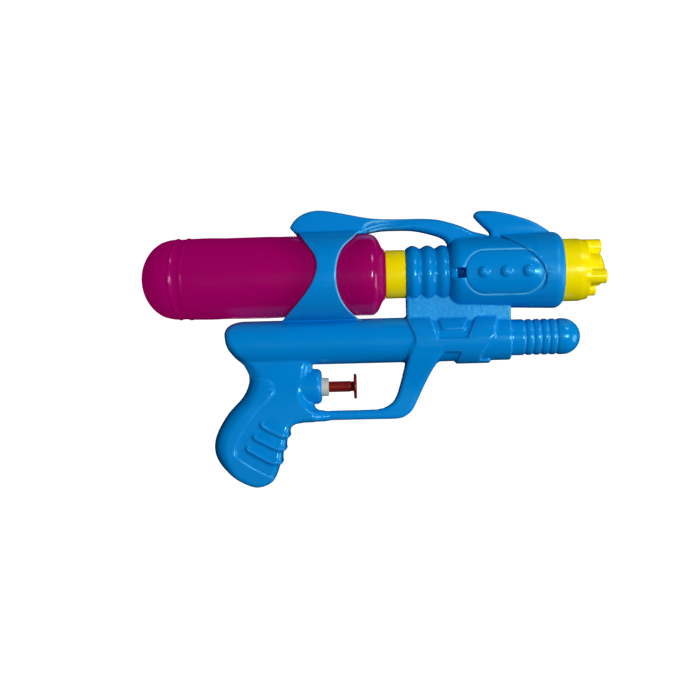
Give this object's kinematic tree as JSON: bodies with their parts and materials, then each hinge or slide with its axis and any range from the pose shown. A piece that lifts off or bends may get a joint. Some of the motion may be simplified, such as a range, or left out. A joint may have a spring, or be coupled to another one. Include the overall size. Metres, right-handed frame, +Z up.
{
  "type": "toy water squirter",
  "caption": "Pistol-shaped toy water squirter with a screw-in tank, moulded half shells, a plunger trigger pump with ball valves, hoses and a crowned muzzle.",
  "frame": {"origin": "middle of the hand grip, on the parting plane of the two shells", "axes": "+X towards the muzzle along the barrels, +Y to the left-hand shell, +Z up"},
  "size_m": [0.2309, 0.0448, 0.1375],
  "materials": {
    "blue_shell": "gloss moulded polypropylene",
    "purple_tank": "blow-moulded polyethylene, soft gloss",
    "yellow_plastic": "gloss moulded polypropylene",
    "red_plunger": "gloss moulded plastic",
    "white_pump": "natural polypropylene",
    "clear_hose": "soft PVC hose",
    "black_rubber": "moulded rubber",
    "steel": "zinc-plated or stainless steel"
  },
  "bodies": {
    "body": {"right_shell": "blue_shell", "left_shell": "blue_shell", "case_screws": "steel", "tank_collar": "yellow_plastic", "pickup_tube": "clear_hose", "suction_hose": "clear_hose", "discharge_hose": "clear_hose", "pump_barrel": "white_pump", "gland_bush": "white_pump", "valve_block": "white_pump", "barrel_seal": "black_rubber", "inlet_cap": "white_pump", "outlet_cap": "white_pump", "return_spring": "steel", "muzzle": "yellow_plastic", "jet_nozzle": "white_pump"},
    "trigger": {"plunger": "red_plunger", "piston_seal": "black_rubber"},
    "tank_carrier": {"tank_gasket": "black_rubber"},
    "tank": {"tank_bottle": "purple_tank"},
    "inlet_valve": {"inlet_ball": "white_pump"},
    "outlet_valve": {"outlet_ball": "steel"}
  },
  "joints": [
    {"name": "plunger_push", "type": "slide", "parent": "body", "child": "trigger", "axis": [-1, 0, 0], "range_m": [0, 0.01], "stiffness_N_per_m": 250, "springref_m": -0.006, "deforming": ["return_spring"]},
    {"name": "tank_advance", "type": "slide", "parent": "body", "child": "tank_carrier", "axis": [1, 0, 0], "range_m": [-0.00451, 0]},
    {"name": "tank_turn", "type": "hinge", "parent": "tank_carrier", "child": "tank", "pos_m": [0, 0, 0.075], "axis": [1, 0, 0], "range_deg": [-540, 0]},
    {"name": "inlet_ball_lift", "type": "slide", "parent": "body", "child": "inlet_valve", "axis": [0, 0, 1], "range_m": [0, 0.00085]},
    {"name": "outlet_ball_lift", "type": "slide", "parent": "body", "child": "outlet_valve", "axis": [0, 0, 1], "range_m": [0, 0.00085]}
  ],
  "couplings": [
    {"joint": "tank_advance", "follows": "tank_turn", "m_per_rad": 0.00047746}
  ]
}
